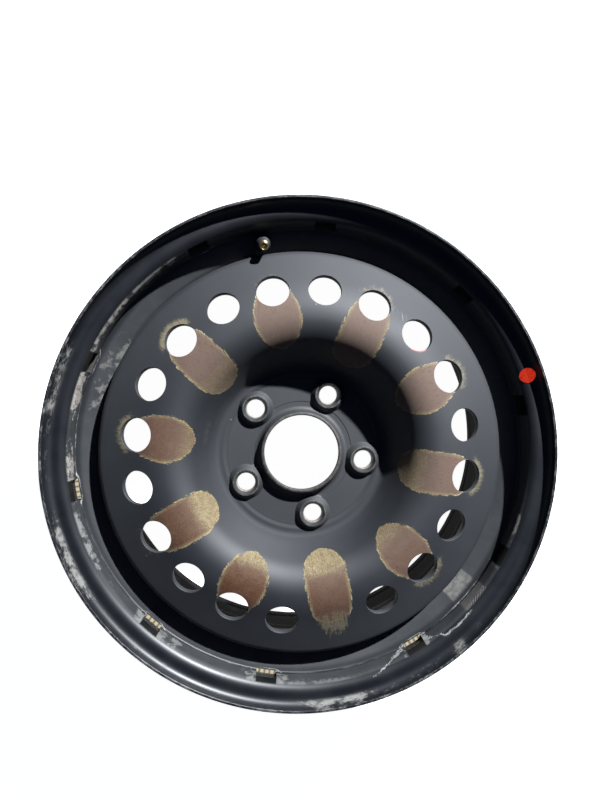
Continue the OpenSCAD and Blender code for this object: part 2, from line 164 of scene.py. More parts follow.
# Valve: heights along its own axis, which starts on the tyre side of the well wall
VALVE_AT = (0.0, 192.0, 8.401)
VALVE_TOP = 31.1
VALVE_HOLE_R = 5.75
VALVE_HOLE_L = 5.0
RUBBER_TOP = 21.6
RUBBER_EDGE = 0.35
# Foot, groove for the rim's wall, shoulder, taper and neck
RUBBER_OUTLINE = [
    (3.55, -9), (8.2, -9), (9.0, -8.2), (9.0, -6), (6.9, -0.15),
    (5.7, -0.15), (5.7, 2.75),
    (7.5, 2.75), (7.5, 4.9), (6.2, 13.0), (5.2, 14.0),
    (5.2, 20.8), (4.4, RUBBER_TOP), (3.55, RUBBER_TOP),
]
STEM_FOOT = -9
STEM_SHANK_R = 3.5
STEM_AIR_R = 2.2
STEM_BORE_R = 2.65
STEM_MOUTH = 0.4
CORE_SEAT_FOOT = 21.6
CORE_SEAT_TOP = 23.6
THREAD_PITCH = 0.8
THREAD_R = 3.85
THREAD_ROOT_R = 3.45
COIL_R = 0.925
COIL_FOOT = 18.98
COIL_L = 8.14
COIL_TURNS = 6
COIL_STEPS = 24
WIRE_R = 0.13
WIRE_SIDES = 10

# Colours of the rim: linear red, green, blue and 1
RIM_DARK = (0.0045, 0.0055, 0.0075, 1)
RIM_PALE = (0.0085, 0.0095, 0.0115, 1)
SEAT_DUST = (0.052, 0.055, 0.056, 1)
CHALK_LIT = (0.36, 0.33, 0.29, 1)
CHALK_SHADED = (0.19, 0.186, 0.176, 1)
CHALK_GRIME = (0.09, 0.086, 0.08, 1)
FLANGE_CHIP = (0.17, 0.165, 0.152, 1)
WORN_CORNER = (0.33, 0.335, 0.33, 1)
WALL_SPLASH = (0.13, 0.125, 0.115, 1)
DRIED_DRIP = (0.26, 0.26, 0.245, 1)
DIRT_DARK = (0.09, 0.066, 0.038, 1)
DIRT_TAN = (0.31, 0.25, 0.155, 1)
DIRT_SHADED = (0.03, 0.027, 0.022, 1)
LIP_WEAR_AND_LIGHT = (0.17, 0.17, 0.165, 1)
BARREL_SHADE_DARK = (0.003, 0.0034, 0.004, 1)
BARREL_SHADE_PALE = (0.010, 0.009, 0.008, 1)

# Colours of the disc
DISC_DARK = (0.0035, 0.005, 0.008, 1)
DISC_PALE = (0.006, 0.008, 0.011, 1)
RUST_HUB = (0.060, 0.027, 0.013, 1)
RUST_VENT = (0.068, 0.021, 0.007, 1)
RUST_GRAIN = (0.098, 0.054, 0.030, 1)
RUST_BLOT = (0.108, 0.068, 0.040, 1)
RUST_SHEEN = (0.136, 0.098, 0.079, 1)
RUST_BRUSHED = (0.034, 0.019, 0.012, 1)
STRAW_DARK = (0.11, 0.083, 0.041, 1)
STRAW_PALE = (0.25, 0.205, 0.115, 1)
GOLD_HUB = (0.36, 0.27, 0.11, 1)
GOLD_VENT = (0.40, 0.36, 0.29, 1)
VENT_DUST = (0.17, 0.14, 0.08, 1)
SCRATCH = (0.30, 0.31, 0.30, 1)
RED_LINE = (0.5, 0.035, 0.05, 1)
BLACK_SMEAR = (0.002, 0.002, 0.002, 1)
PAD_DUST = (0.019, 0.020, 0.021, 1)
WORN_COLLAR = (0.075, 0.055, 0.038, 1)
BARE_STEEL = (0.24, 0.215, 0.175, 1)
PALE_CREST = (0.10, 0.088, 0.066, 1)

# Colours of the welds, the red mark and the valve
WELD_DARK = (0.008, 0.0085, 0.0095, 1)
WELD_PALE = (0.028, 0.026, 0.024, 1)
WELD_RUST = (0.085, 0.036, 0.016, 1)
MARK_BASE = (0.045, 0.003, 0.001, 1)
MARK_GLOW_DARK = (0.33, 0.014, 0.004, 1)
MARK_GLOW_PALE = (0.56, 0.032, 0.012, 1)
VALVE_RUBBER = (0.02, 0.02, 0.021, 1)
BRASS = (0.62, 0.47, 0.24, 1)
WIRE = (0.6, 0.6, 0.6, 1)
SEAL_RUBBER = (0.02, 0.02, 0.02, 1)
GASKET = (0.5, 0.1, 0.06, 1)

# Scuffs on the bead seat: middle angle, half width, softness, heights where it starts and is
# full, weight
SEAT_SCUFFS = [
    (125, 18, 8, 20, 28, 1.0), (153.5, 6.5, 4, 16, 23, 1.0), (172, 5, 4, 16, 24, 0.9),
    (190, 10, 7, 17, 28, 0.9), (222.5, 4.5, 3, 15, 22, 0.7), (264, 9, 6, 23, 31, 0.4),
    (214.5, 2, 1.5, 15, 20, 0.8), (246.5, 2, 1.5, 15, 20, 0.7), (254, 2.5, 2, 15, 20, 0.7),
    (331, 4, 3, 25, 30, 0.8), (322.5, 2, 1, 29, 31, 1.0),
]
# Chips on the flange: middle angle, half width, softness
FLANGE_CHIPS = [(153, 9, 4), (193.5, 9.5, 4), (267, 7.5, 2), (299.5, 2, 1)]
# Two dried drips: height, angle
DRIP_IN = [(12, 287), (20, 286), (27, 283.6), (31, 281), (35, 276.8)]
DRIP_OUT = [(12, 292.6), (24, 293.3), (28, 294.4), (31, 296.6), (34, 298.5)]
# The barrel's tyre side below the disc: height, radius
BARREL_LINE = [
    (-146, 219), (-134, 219), (-133, 202.5), (-131, 202.6), (-118.5, 201.4), (-112.5, 203.2),
    (-106, 200), (-100, 196.8), (-67, 196.8), (-39.6, 181), (-20, 181),
]

# The worn patches lie below every second vent, and two forms take turns: radius, half width
PATCH_START = 18
PATCH_PERIOD = 36
PATCH_POINTED = [
    (92, 0), (93.5, 2), (96, 8.5), (100, 13), (105, 16.5), (112, 19.4), (120, 20.5),
    (130, 19.4), (138, 16.5), (143, 14), (147, 0),
]
PATCH_BLUNT = [
    (86, 0), (87.5, 6), (89.5, 11), (93, 15), (98, 17.6), (104, 18.6), (115, 18.9),
    (128, 18.6), (138, 17), (143, 14.5), (147, 0),
]
# How much painted sheen a patch has, paler towards the side facing the light, how much straw colour
# is on its hub end, and how dusty the far side of its vent is: angle, amount
PATCH_SHEEN = [
    (0, 0.7), (18, 0.75), (90, 0.78), (126, 0.65), (162, 0.25), (198, 0.15),
    (234, 0), (270, 0.25), (306, 0.45), (342, 0.65), (360, 0.7),
]
PATCH_STRAW = [
    (0, 0.15), (105, 0.15), (115, 0.4), (178, 0.5), (184, 1), (286, 1), (292, 0.7), (360, 0.7),
]
PATCH_DUSTING = [
    (0, 0.6), (36, 0.6), (37, 0.5), (72, 0.5), (73, 0.25), (108, 0.25), (109, 1), (144, 1),
    (145, 0.8), (180, 0.8), (181, 0.25), (216, 0.25), (217, 0.05), (252, 0.05), (253, 0),
    (288, 0), (289, 0.7), (324, 0.7), (325, 0.8), (360, 0.8),
]
# The disc's roughness: radius, roughness
DISC_SATIN = [
    (0, 0.66), (66, 0.68), (68, 0.80), (79, 0.80), (84, 0.66), (105, 0.64), (122, 0.63),
    (136, 0.68), (152, 0.75), (200, 0.76),
]
# The vent with a red line on its edge, and the way from its middle to the line
RED_VENT = 36
RED_OUTWARD = -0.727
RED_SIDEWAYS = -0.687

# Studio
FLOOR_R = 40
FLOOR_GLOW = 0.97
SKY = [
    (0.0, (0.50, 0.51, 0.53, 1)), (0.08, (0.15, 0.16, 0.18, 1)),
    (0.2, (0.05, 0.06, 0.09, 1)), (1.0, (0.012, 0.02, 0.06, 1)),
]
CAMERA_AT = (-0.0170, 0.0631, 0.53085)
CAMERA_LENS = 34.68
CAMERA_ROLL = -10.6
CAMERA_TILT = -1.29
CAMERA_SIDE = -2.95


# Shapes

def tan(angle):
    return math.tan(math.radians(angle))


def bend(before, corner, after, radius, offset=0.0):
    """Points of one bend of a sheet, on the side that lies offset to the left of its path."""
    corner = Vector(corner[:2])
    way_in = (corner - Vector(before[:2])).normalized()
    way_out = (Vector(after[:2]) - corner).normalized()
    turn = math.atan2(way_in.cross(way_out), way_in.dot(way_out))
    side = math.copysign(1, turn)
    start = corner - way_in * radius * math.tan(abs(turn) / 2)
    centre = start + side * radius * Vector((-way_in.y, way_in.x))
    first = math.atan2(-side * way_in.x, side * way_in.y)
    count = max(1, math.ceil(abs(turn) / BEND_STEP))
    angles = [first + turn * i / count for i in range(count + 1)]
    return [centre + (radius - side * offset) * Vector((math.cos(a), math.sin(a))) for a in angles]


def sheet_side(path, offset):
    """One side of a bent sheet. The path holds corners with a bend radius."""
    ends = []
    for here, there in ((path[0], path[1]), (path[-2], path[-1])):
        way = (Vector(there[:2]) - Vector(here[:2])).normalized()
        ends.append(offset * Vector((-way.y, way.x)))
    points = [Vector(path[0][:2]) + ends[0]]
    for before, corner, after in zip(path, path[1:], path[2:]):
        points += bend(before, corner, after, corner[2], offset)
    return points + [Vector(path[-1][:2]) + ends[1]]


def sheet_outline(path, near, far, edge_r):
    """The closed section of a sheet between two offsets, with its four edges rounded."""
    first, second = sheet_side(path, near), sheet_side(path, far)[::-1]
    loop = first + second
    edges = {0, len(first) - 1, len(first), len(loop) - 1}
    outline = []
    for i, point in enumerate(loop):
        if i in edges:
            outline += bend(loop[i - 1], point, loop[(i + 1) % len(loop)], edge_r)
        else:
            outline.append(point)
    return outline


def spaced(outline, longest):
    """The same closed outline, with points added on its long straight runs."""
    points = []
    for here, there in zip(outline, outline[1:] + outline[:1]):
        here, there = Vector(here), Vector(there)
        parts = max(1, math.ceil((there - here).length / longest))
        points += [here.lerp(there, i / parts) for i in range(parts)]
    return points


def drawn(name, outline, closed=True):
    """A new piece in edit mode: an outline of (radius, height) points, extruded from one point."""
    bpy.ops.object.select_all(action="DESELECT")
    bpy.ops.mesh.primitive_plane_add(size=MM)
    piece = bpy.context.object
    piece.name = piece.data.name = name
    bpy.ops.object.mode_set(mode="EDIT")
    bpy.ops.mesh.select_all(action="SELECT")
    bpy.ops.mesh.merge(type="CENTER")
    points = [Vector((p[0], 0, p[1])) * MM for p in outline]
    if closed:
        points.append(points[0])
    bpy.ops.transform.translate(value=points[0])
    for here, there in zip(points, points[1:]):
        bpy.ops.mesh.extrude_vertices_move(TRANSFORM_OT_translate={"value": there - here})
    bpy.ops.mesh.select_all(action="SELECT")
    bpy.ops.mesh.remove_doubles(threshold=0.001 * MM)
    return piece


def close_shell():
    """Merges the doubles of the piece in edit mode and turns its faces outwards. Ends edit mode."""
    bpy.ops.mesh.select_all(action="SELECT")
    bpy.ops.mesh.remove_doubles(threshold=0.001 * MM)
    bpy.ops.mesh.normals_make_consistent(inside=False)
    bpy.ops.object.mode_set(mode="OBJECT")


def turned(name, outline, steps, closed=True):
    """A piece spun round Z from its outline."""
    piece = drawn(name, outline, closed)
    bpy.ops.mesh.spin(steps=steps, angle=math.tau, center=(0, 0, 0), axis=(0, 0, 1))
    close_shell()
    return piece


def swept_sector(name, outline, width, radius, steps):
    """A filled outline swept a short way round Z, with its middle on +X."""
    piece = drawn(name, outline)
    bpy.ops.mesh.edge_face_add()
    bpy.ops.mesh.spin(steps=steps, angle=width / radius, center=(0, 0, 0), axis=(0, 0, 1))
    close_shell()
    middle = sum((v.co for v in piece.data.vertices), Vector())
    place(piece, turn=(0, 0, -math.degrees(math.atan2(middle.y, middle.x))))
    return piece


def pick(*pieces):
    """Selects these pieces alone. The first is the active one."""
    bpy.ops.object.select_all(action="DESELECT")
    for piece in pieces:
        piece.select_set(True)
    bpy.context.view_layer.objects.active = pieces[0]


def place(piece, at=(0, 0, 0), turn=(0, 0, 0)):
    """Turns and moves a piece, and leaves its place in its mesh."""
    pick(piece)
    piece.rotation_euler = [math.radians(angle) for angle in turn]
    piece.location = Vector(at) * MM
    bpy.ops.object.transform_apply(location=True, rotation=True, scale=True)


def around(piece, angles):
    """Copies of a piece at these angles round the wheel axis, joined into one."""
    copies = []
    for angle in angles:
        pick(piece)
        bpy.ops.object.duplicate(linked=False)
        copy = bpy.context.object
        place(copy, turn=(0, 0, angle))
        copies.append(copy)
    bpy.data.objects.remove(piece)
    pick(*copies)
    bpy.ops.object.join()
    return bpy.context.object


def applied(piece, kind, **settings):
    """Adds a modifier and applies it."""
    pick(piece)
    modifier = piece.modifiers.new(kind.lower(), kind)
    for name, value in settings.items():
        setattr(modifier, name, value)
    bpy.ops.object.modifier_apply(modifier=modifier.name)


def join_to(piece, other, operation="UNION"):
    """Fuses another solid into a piece, or takes it away from the piece."""
    applied(piece, "BOOLEAN", operation=operation, solver="EXACT", object=other)
    bpy.data.objects.remove(other)
    bpy.ops.object.mode_set(mode="EDIT")
    close_shell()


def cut(piece, tool):
    """Cuts a tool's shape out of a piece."""
    join_to(piece, tool, "DIFFERENCE")


def smooth(piece, angle=32):
    pick(piece)
    bpy.ops.object.shade_smooth_by_angle(angle=math.radians(angle))


def at_valve(piece):
    """Puts a piece that was made round Z on the valve's leaning axis."""
    place(piece, at=VALVE_AT, turn=(WALL_ANGLE, 0, 0))


# Pieces

def make_rim():
    wall_foot_z = HUMP_Z - (HUMP_TOP_R - WELL_FLOOR_R) * tan(WALL_ANGLE)
    slope_foot_z = wall_foot_z - WELL_W
    slope_top_z = slope_foot_z - (LEDGE_R - WELL_FLOOR_R) / tan(SLOPE_ANGLE)
    inboard_hump_z = -2 * HUB_OFFSET - HUMP_Z
    ledge_end_z = inboard_hump_z + HUMP_L + HUMP_TOP_R - LEDGE_R
    edge = [
        (LIP_R, LIP_Z, 0),
        (LIP_R, FACE_Z, CURL_R),
        (SEAT_R, FACE_Z, ROOT_R),
        (SEAT_R - SEAT_L * tan(SEAT_TAPER), FACE_Z - SEAT_L, HUMP_R),
        (HUMP_TOP_R, HUMP_Z, HUMP_R),
    ]
    well = [
        (WELL_FLOOR_R, wall_foot_z, WELL_R),
        (WELL_FLOOR_R, slope_foot_z, SLOPE_R),
        (LEDGE_R, slope_top_z, SLOPE_R),
        (LEDGE_R, ledge_end_z, HUMP_R),
    ]
    inboard = [(r, -2 * HUB_OFFSET - z, bend_r) for r, z, bend_r in edge[::-1]]
    outline = sheet_outline(edge + well + inboard, -RIM_T, 0, LIP_EDGE_R)
    rim = turned("rim", outline, RIM_STEPS)
    place(rim, turn=(0, 0, ODD_TURN))

    bulge_r = HUMP_TOP_R + POCKET_DEPTH / 2
    bulge = swept_sector("bulge", [
        (CORNER_R, HUMP_Z - POCKET_DROP - RIM_T * tan(WALL_ANGLE)),
        (bulge_r, HUMP_Z - POCKET_DROP / 2),
        (bulge_r, CORNER_Z),
        (CORNER_R + POCKET_DEPTH / 2 + RIM_T * 0.6, CORNER_Z + POCKET_L),
        (CORNER_R, CORNER_Z + POCKET_L + RIM_T),
    ], POCKET_W + 2 * RIM_T, CORNER_R, POCKET_STEPS)
    join_to(rim, around(bulge, POCKET_ANGLES))

    hollow = swept_sector("hollow", [
        (CORNER_R - POCKET_L, CORNER_Z - POCKET_DROP),
        (CORNER_R + POCKET_DEPTH, CORNER_Z - POCKET_DROP),
        (CORNER_R + POCKET_DEPTH, CORNER_Z),
        (CORNER_R + POCKET_DEPTH / 2, CORNER_Z - POCKET_DROP + POCKET_L),
        (CORNER_R - POCKET_L, CORNER_Z - POCKET_DROP + POCKET_L),
    ], POCKET_W, CORNER_R, POCKET_STEPS)
    applied(hollow, "BEVEL", width=POCKET_EDGE * MM, segments=3, limit_method="ANGLE")
    cut(rim, around(hollow, POCKET_ANGLES))

    nick = turned("nick", NICK_OUTLINE, 14, closed=False)
    place(nick, at=NICK_AT, turn=NICK_TURN)
    cut(rim, around(nick, NICK_ANGLES))

    hole = turned("valve_hole", [
        (0, -PAST),
        (VALVE_HOLE_R, -PAST),
        (VALVE_HOLE_R, VALVE_HOLE_L),
        (0, VALVE_HOLE_L),
    ], 48, closed=False)
    at_valve(hole)
    cut(rim, hole)
    smooth(rim)
    return rim


def make_disc():
    bowl_top_r = RING_OUT_R + (CROWN_H - DISC_T - RING_H) / tan(BOWL_ANGLE)
    crown_out_at = (bowl_top_r + CROWN_IN_R * tan(BOWL_ANGLE / 2)
                    + CROWN_OUT_R * tan(FACE_ANGLE / 2))

    def face_z(r):
        return CROWN_H - (r - crown_out_at) * tan(FACE_ANGLE)

    path = [
        (DISC_R, DISC_END_Z, 0),
        (DISC_R, face_z(DISC_R), SHOULDER_R),
        (crown_out_at, CROWN_H, CROWN_OUT_R),
        (bowl_top_r, CROWN_H, CROWN_IN_R),
        (RING_OUT_R, DISC_T + RING_H, BOWL_R),
        (RING_IN_R + RING_RAMP, DISC_T + RING_H, DISC_T + RING_H),
        (RING_IN_R, DISC_T, RING_H),
        (COLLAR_OUT_R, DISC_T, COLLAR_R),
        (COLLAR_OUT_R, COLLAR_H, 0),
    ]
    outline = sheet_outline(path, 0, DISC_T, DISC_EDGE_R)
    disc = turned("disc", spaced(outline, DISC_SPACING), DISC_STEPS)
    place(disc, turn=(0, 0, ODD_TURN))

    recess = turned("recess", [
        (COLLAR_OUT_R + COLLAR_R, DISC_T - RECESS_DEPTH),
        (RECESS_R - RECESS_DEPTH, DISC_T - RECESS_DEPTH),
        (RECESS_R + RECESS_DEPTH, DISC_T + RECESS_DEPTH),
        (COLLAR_OUT_R + COLLAR_R, DISC_T + RECESS_DEPTH),
    ], DISC_STEPS)
    cut(disc, recess)
    edge_r = BORE_R + COLLAR_EDGE_T
    thinning = turned("collar_thinning", [
        (edge_r - 0.3, COLLAR_H),
        (edge_r + 0.2, COLLAR_H - 0.3),
        (COLLAR_OUT_R, COLLAR_H - COLLAR_THIN_L),
        (COLLAR_OUT_R + PAST, COLLAR_H - COLLAR_THIN_L),
        (COLLAR_OUT_R + PAST, COLLAR_H + PAST),
        (edge_r - 0.3, COLLAR_H + PAST),
    ], DISC_STEPS)
    cut(disc, thinning)

    foot, top = (BOSS_R, 0), (BOSS_TOP_R, BOSS_H)
    below = (BOSS_R + DISC_T / 2, -DISC_T / 4)
    boss = turned("boss", [(0, -DISC_T / 2), below]
                  + bend(below, foot, top, BOSS_H / 3)
                  + bend(foot, top, (0, BOSS_H), BOSS_H / 6)
                  + [(0, BOSS_H)], TOOL_STEPS, closed=False)
    place(boss, at=(BOLT_CIRCLE_R, 0, DISC_T))
    join_to(disc, around(boss, BOLT_ANGLES))

    cone_l = (BOLT_SEAT_R - BOLT_HOLE_R) / tan(BOLT_SEAT_SLOPE)
    bolt = turned("bolt_way", [
        (0, -DISC_T - PAST),
        (BOLT_HOLE_R + 0.3 + PAST * 0.75, -DISC_T - PAST),
        (BOLT_HOLE_R, -DISC_T + BOLT_CHAMFER),
        (BOLT_HOLE_R, BOSS_H - cone_l),
        (BOLT_SEAT_R + PAST * tan(BOLT_SEAT_SLOPE), BOSS_H + PAST),
        (0, BOSS_H + PAST),
    ], TOOL_STEPS, closed=False)
    place(bolt, at=(BOLT_CIRCLE_R, 0, DISC_T), turn=(0, 0, 5 * ODD_TURN))
    cut(disc, around(bolt, BOLT_ANGLES))

    hollow = turned("boss_hollow", [
        (LAND_R - PAST / 6, -DISC_T - PAST),
        (HOLLOW_R + PAST, -DISC_T - PAST),
        (HOLLOW_R - HOLLOW_DEPTH, HOLLOW_DEPTH - DISC_T),
        (LAND_R + 0.5, HOLLOW_DEPTH - DISC_T),
    ], TOOL_STEPS)
    place(hollow, at=(BOLT_CIRCLE_R, 0, DISC_T), turn=(0, 0, 3 * ODD_TURN))
    cut(disc, around(hollow, BOLT_ANGLES))

    punch = turned("vent_punch", [
        (0, -VENT_REACH),
        (VENT_R + VENT_FLARE, -VENT_REACH),
        (VENT_R + VENT_EDGE / 2 + 0.2, -DISC_T - VENT_PAST),
        (VENT_R, -DISC_T + VENT_EDGE),
        (VENT_R, -2 * VENT_EDGE),
        (VENT_R + 0.15 * VENT_EDGE, -VENT_EDGE),
        (VENT_R + VENT_EDGE + 0.34, VENT_PAST),
        (VENT_R + VENT_FLARE, VENT_REACH),
        (0, VENT_REACH),
    ], TOOL_STEPS, closed=False)
    place(punch, turn=(0, 0, 3 * ODD_TURN))
    place(punch, at=(VENT_CIRCLE_R, 0, face_z(VENT_CIRCLE_R)), turn=(0, FACE_ANGLE, 0))
    cut(disc, around(punch, VENT_ANGLES))
    smooth(disc)
    return disc


def make_valve_rubber():
    rubber = turned("valve_rubber", RUBBER_OUTLINE, 64)
    applied(rubber, "BEVEL", width=RUBBER_EDGE * MM, segments=3, limit_method="ANGLE")
    at_valve(rubber)
    smooth(rubber, 40)
    return rubber


def make_valve_stem():
    start, end = RUBBER_TOP + 1.2, VALVE_TOP - 1.0
    turns = int((end - start) / THREAD_PITCH)
    foot = RUBBER_TOP + 0.05
    lead_in = VALVE_TOP - STEM_MOUTH / 2
    outline = [
        (STEM_AIR_R, STEM_FOOT), (STEM_SHANK_R, STEM_FOOT), (STEM_SHANK_R, foot),
        (THREAD_R, foot), (THREAD_R, start - 0.3),
    ]
    for i in range(turns):
        z = start + i * THREAD_PITCH
        outline += [
            (THREAD_ROOT_R, z),
            (THREAD_R, z + 0.35 * THREAD_PITCH),
            (THREAD_R, z + 0.55 * THREAD_PITCH),
        ]
    outline += [
        (THREAD_ROOT_R, start + turns * THREAD_PITCH), (THREAD_ROOT_R, lead_in),
        (THREAD_ROOT_R - STEM_MOUTH / 2, VALVE_TOP), (STEM_BORE_R + STEM_MOUTH / 2, VALVE_TOP),
        (STEM_BORE_R, lead_in), (STEM_BORE_R, CORE_SEAT_TOP), (STEM_AIR_R, CORE_SEAT_FOOT),
    ]
    stem = turned("valve_brass_stem", outline, 48)
    at_valve(stem)
    smooth(stem, 25)
    return stem


def make_valve_spring():
    turns = [math.tau * i / WIRE_SIDES for i in range(WIRE_SIDES)]
    ring = [(COIL_R + WIRE_R * math.cos(t), COIL_FOOT + WIRE_R * math.sin(t)) for t in turns]
    spring = drawn("valve_spring", ring)
    bpy.ops.object.mode_set(mode="OBJECT")
    applied(spring, "SCREW", axis="Z", angle=math.tau, screw_offset=COIL_L / COIL_TURNS * MM,
            iterations=COIL_TURNS, steps=COIL_STEPS, render_steps=COIL_STEPS)
    bpy.ops.object.mode_set(mode="EDIT")
    bpy.ops.mesh.select_all(action="SELECT")
    bpy.ops.mesh.fill_holes(sides=0)
    close_shell()
    at_valve(spring)
    smooth(spring, 50)
    return spring


# Finishes

class Value:
    """One output in a finish. Arithmetic on it adds Math nodes."""

    def __init__(self, finish, socket):
        self.finish, self.socket = finish, socket

    def math(self, operation, *others):
        return self.finish.node("ShaderNodeMath", {"operation": operation}, [self, *others])

    def __add__(self, other):
        return self.math("ADD", other)

    def __sub__(self, other):
        return self.math("SUBTRACT", other)

    def __rsub__(self, other):
        return self.finish.node("ShaderNodeMath", {"operation": "SUBTRACT"}, [other, self])

    def __mul__(self, other):
        return self.math("MULTIPLY", other)

    def __truediv__(self, other):
        return self.math("DIVIDE", other)

    def __mod__(self, other):
        return self.math("FLOORED_MODULO", other)

    def __abs__(self):
        return self.math("ABSOLUTE")

    __radd__ = __add__
    __rmul__ = __mul__

    def rise(self, low, high):
        """0 below low, 1 above high, smooth between. It falls where low is the larger."""
        return self.finish.node("ShaderNodeMapRange", {"interpolation_type": "SMOOTHSTEP"},
                                {"Value": self, "From Min": low, "From Max": high})

    def between(self, low, high, soft):
        return self.rise(low - soft, low + soft) * self.rise(high + soft, high - soft)

    def either(self, other):
        return self.math("MAXIMUM", other)


class Finish:
    """A material, with the wheel's own places to paint by: millimetres and degrees."""

    def __init__(self, name):
        self.material = bpy.data.materials.new(name)
        self.material.use_nodes = True
        self.tree = self.material.node_tree
        self.shader = self.tree.nodes["Principled BSDF"]
        self.place = self.node("ShaderNodeTexCoord", output="Object")
        self.x, self.y, self.z = (part * 1000 for part in self.parts(self.place))
        self.radius = (self.x * self.x + self.y * self.y).math("SQRT")
        self.angle = (self.y.math("ARCTAN2", self.x) * math.degrees(1)) % 360

    def node(self, kind, settings={}, inputs=(), output=0):
        node = self.tree.nodes.new(kind)
        for name, value in settings.items():
            if name == "stops":
                self.set_stops(node.color_ramp, value)
            else:
                setattr(node, name, value)
        pairs = inputs.items() if isinstance(inputs, dict) else enumerate(inputs)
        for key, value in pairs:
            self.feed(node.inputs[key], value)
        return Value(self, node.outputs[output])

    def feed(self, socket, value):
        if isinstance(value, Value):
            self.tree.links.new(value.socket, socket)
        elif value is not None:
            socket.default_value = value

    @staticmethod
    def set_stops(ramp, stops):
        first, *inner, last = [(position, colour if hasattr(colour, "__len__") else grey(colour))
                               for position, colour in stops]
        for element, (position, colour) in zip(ramp.elements, (first, last)):
            element.position, element.color = position, colour
        for position, colour in inner:
            ramp.elements.new(position).color = colour

    def parts(self, vector):
        node = self.tree.nodes.new("ShaderNodeSeparateXYZ")
        self.tree.links.new(vector.socket, node.inputs[0])
        return [Value(self, socket) for socket in node.outputs]

    def noise(self, per_metre, detail=4, roughness=0.55, at=None, warp=0.0):
        return self.node("ShaderNodeTexNoise", {}, {
            "Vector": at or self.place, "Scale": per_metre, "Detail": detail,
            "Roughness": roughness, "Distortion": warp})

    def polar(self, along, across, height=1.0):
        """Places stretched round the wheel: angle, radius and height, each with its own weight."""
        return self.node("ShaderNodeCombineXYZ", {}, [
            self.angle * (along / 57.3), self.radius * across, self.z * height])

    def mix(self, mask, under, over):
        return self.node("ShaderNodeMix", {"data_type": "RGBA"}, {0: mask, 6: under, 7: over},
                         output=2)

    def turn_from(self, middle, period=360):
        """Degrees from the nearest of the angles that repeat round the wheel from a middle one."""
        return (self.angle + (period / 2 - middle)) % period - period / 2

    def arc_from(self, middle, period=360):
        """The same in millimetres along the arc."""
        return self.turn_from(middle, period) * self.radius * math.radians(1)

    def sector(self, middle, half, soft):
        """1 within half of an angle round the wheel, 0 beyond."""
        return abs(self.turn_from(middle)).rise(half + soft, half - soft)

    def along(self, value, points):
        """A height that runs through the given (value, height) points."""
        low, high = points[0][0], points[-1][0]
        top = max(height for _, height in points)
        stops = [((x - low) / (high - low), height / top) for x, height in points]
        share = (value - low) / (high - low)
        return self.node("ShaderNodeValToRGB", {"stops": stops}, [share]) * top

    def bump(self, height, distance, strength=1.0):
        return self.node("ShaderNodeBump", {}, {
            "Height": height, "Distance": distance, "Strength": strength})

    def paint(self, colour, roughness, normal=None):
        for name, value in (("Base Color", colour), ("Roughness", roughness), ("Normal", normal)):
            self.feed(self.shader.inputs[name], value)
        return self.material

    def dull_coat(self, mask, colour, roughness, specular, normal=None):
        """A second, duller coat that lies where the mask is 1."""
        coat = self.node("ShaderNodeBsdfPrincipled", {}, {
            "Base Color": colour, "Roughness": roughness, "Specular IOR Level": specular,
            "Normal": normal})
        under = Value(self, self.shader.outputs[0])
        both = self.node("ShaderNodeMixShader", {}, [mask, under, coat])
        self.feed(self.tree.nodes["Material Output"].inputs["Surface"], both)


def grey(level):
    return (level, level, level, 1)


